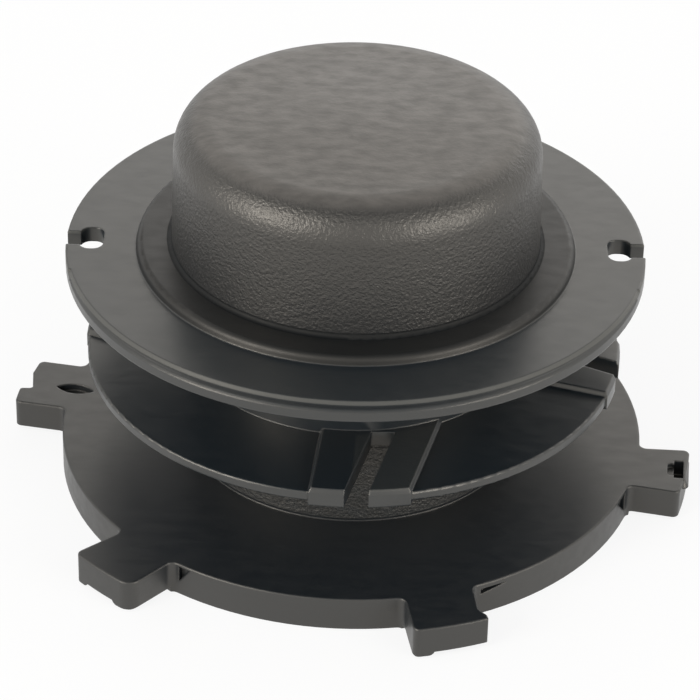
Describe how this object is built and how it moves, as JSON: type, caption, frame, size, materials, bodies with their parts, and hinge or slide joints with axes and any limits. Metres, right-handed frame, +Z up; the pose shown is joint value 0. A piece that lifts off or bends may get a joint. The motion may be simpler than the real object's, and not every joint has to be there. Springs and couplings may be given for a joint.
{
  "type": "trimmer line spool",
  "caption": "Line spool of a bump-feed trimmer head: a round knob over a slotted two-chamber reel and a lugged drive flange.",
  "frame": {"origin": "on the spool axis, in the plane of the lower rim's underside, at the mouth of the hub bore", "axes": "+Z up along the spool axis towards the knob, -Y to the viewer's side of the picture, +X to its right"},
  "size_m": [0.0987, 0.0954, 0.0562],
  "materials": {
    "polyamide": "black glass-filled polyamide, satin as moulded, spark-eroded grain on the knob"
  },
  "bodies": {
    "root": {"spool": "polyamide"}
  },
  "joints": []
}
